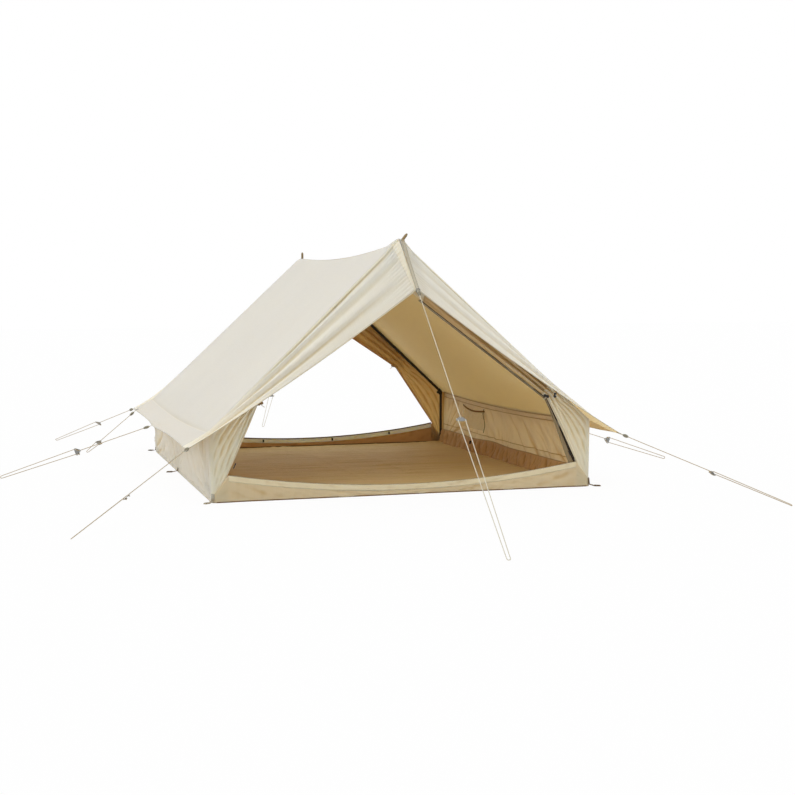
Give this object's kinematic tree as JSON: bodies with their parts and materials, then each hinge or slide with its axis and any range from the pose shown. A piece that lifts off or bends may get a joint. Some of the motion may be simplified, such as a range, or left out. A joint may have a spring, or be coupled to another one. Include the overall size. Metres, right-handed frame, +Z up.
{
  "type": "ridge tent",
  "caption": "Ridge tent of canvas over two steel A-frames, open at both gables with the doors gathered aside, with hoods, low walls, a groundsheet and guy ropes.",
  "frame": {"origin": "middle of the floor, on the ground", "axes": "+Z up, the open front with the screen door faces -Y, +X is to the right seen from the front"},
  "size_m": [4.3379, 6.6008, 1.4529],
  "materials": {
    "canvas": "matte",
    "tan_canvas": "matte",
    "groundsheet": "satin",
    "mesh": "matte",
    "webbing": "matte",
    "rope": "matte",
    "steel": "satin",
    "aluminium": "satin",
    "fastener": "satin"
  },
  "bodies": {
    "root": {"door_front_left": "canvas", "door_front_right": "canvas", "door_rear_left": "canvas", "door_rear_right": "canvas", "elbow_front_left": "steel", "elbow_front_right": "steel", "elbow_rear_left": "steel", "elbow_rear_right": "steel", "floor_band_left": "groundsheet", "floor_band_right": "groundsheet", "groundsheet": "groundsheet", "hood_front_left": "canvas", "hood_front_right": "canvas", "hood_rear_left": "canvas", "hood_rear_right": "canvas", "hood_strap_front": "webbing", "hood_strap_rear": "webbing", "leg_front_left": "steel", "leg_front_right": "steel", "leg_rear_left": "steel", "leg_rear_right": "steel", "rafter_front_left": "steel", "rafter_front_right": "steel", "rafter_rear_left": "steel", "rafter_rear_right": "steel", "ridge_hub_front": "steel", "ridge_hub_rear": "steel", "roof_left": "canvas", "roof_right": "canvas", "screen_front_left": "mesh", "screen_front_right": "mesh", "threshold_front": "canvas", "threshold_rear": "canvas", "wall_left": "canvas", "wall_pocket": "tan_canvas", "wall_right": "canvas", "guy_rope_front": "rope", "guy_rope_rear": "rope", "guy_rope_left_front": "rope", "guy_rope_left_middle": "rope", "guy_rope_left_rear": "rope", "guy_rope_left_rear_side": "rope", "guy_rope_right_front": "rope", "guy_rope_right_middle": "rope", "guy_rope_right_rear": "rope", "guy_rope_right_rear_side": "rope"},
    "tensioner_front": {"tensioner_front": "aluminium"},
    "tensioner_rear": {"tensioner_rear": "aluminium"},
    "tensioner_left_front": {"tensioner_left_front": "aluminium"},
    "tensioner_left_middle": {"tensioner_left_middle": "aluminium"},
    "tensioner_left_rear": {"tensioner_left_rear": "aluminium"},
    "tensioner_left_rear_side": {"tensioner_left_rear_side": "aluminium"},
    "tensioner_right_front": {"tensioner_right_front": "aluminium"},
    "tensioner_right_middle": {"tensioner_right_middle": "aluminium"},
    "tensioner_right_rear": {"tensioner_right_rear": "aluminium"},
    "tensioner_right_rear_side": {"tensioner_right_rear_side": "aluminium"},
    "zip_pull_front_left": {"zip_pull_front_left": "fastener"},
    "zip_pull_front_right": {"zip_pull_front_right": "fastener"}
  },
  "joints": [
    {"name": "tensioner_front_slide", "type": "slide", "parent": "root", "child": "tensioner_front", "axis": [-0.0871, -0.8576, -0.5068], "range_m": [-0.05, 0.12], "deforming": ["guy_rope_front"]},
    {"name": "tensioner_rear_slide", "type": "slide", "parent": "root", "child": "tensioner_rear", "axis": [0.0075, 0.8154, -0.5788], "range_m": [-0.05, 0.12], "deforming": ["guy_rope_rear"]},
    {"name": "tensioner_left_front_slide", "type": "slide", "parent": "root", "child": "tensioner_left_front", "axis": [-0.5753, -0.7721, -0.2701], "range_m": [-0.05, 0.12], "deforming": ["guy_rope_left_front"]},
    {"name": "tensioner_left_middle_slide", "type": "slide", "parent": "root", "child": "tensioner_left_middle", "axis": [-0.9496, 0.0618, -0.3074], "range_m": [-0.05, 0.12], "deforming": ["guy_rope_left_middle"]},
    {"name": "tensioner_left_rear_slide", "type": "slide", "parent": "root", "child": "tensioner_left_rear", "axis": [-0.4693, 0.8411, -0.2689], "range_m": [-0.05, 0.12], "deforming": ["guy_rope_left_rear"]},
    {"name": "tensioner_left_rear_side_slide", "type": "slide", "parent": "root", "child": "tensioner_left_rear_side", "axis": [-0.7165, 0.2876, -0.6355], "range_m": [-0.05, 0.05], "deforming": ["guy_rope_left_rear_side"]},
    {"name": "tensioner_right_front_slide", "type": "slide", "parent": "root", "child": "tensioner_right_front", "axis": [0.4451, -0.8558, -0.2636], "range_m": [-0.05, 0.12], "deforming": ["guy_rope_right_front"]},
    {"name": "tensioner_right_middle_slide", "type": "slide", "parent": "root", "child": "tensioner_right_middle", "axis": [0.9007, -0.3054, -0.309], "range_m": [-0.05, 0.12], "deforming": ["guy_rope_right_middle"]},
    {"name": "tensioner_right_rear_slide", "type": "slide", "parent": "root", "child": "tensioner_right_rear", "axis": [0.4693, 0.8411, -0.2689], "range_m": [-0.05, 0.12], "deforming": ["guy_rope_right_rear"]},
    {"name": "tensioner_right_rear_side_slide", "type": "slide", "parent": "root", "child": "tensioner_right_rear_side", "axis": [0.7165, 0.2876, -0.6355], "range_m": [-0.05, 0.05], "deforming": ["guy_rope_right_rear_side"]},
    {"name": "zip_front_left_slide", "type": "slide", "parent": "root", "child": "zip_pull_front_left", "axis": [0.4164, 0.0194, 0.909], "range_m": [0, 0.3]},
    {"name": "zip_front_right_slide", "type": "slide", "parent": "root", "child": "zip_pull_front_right", "axis": [-0.4164, 0.0194, 0.909], "range_m": [0, 0.3]}
  ]
}
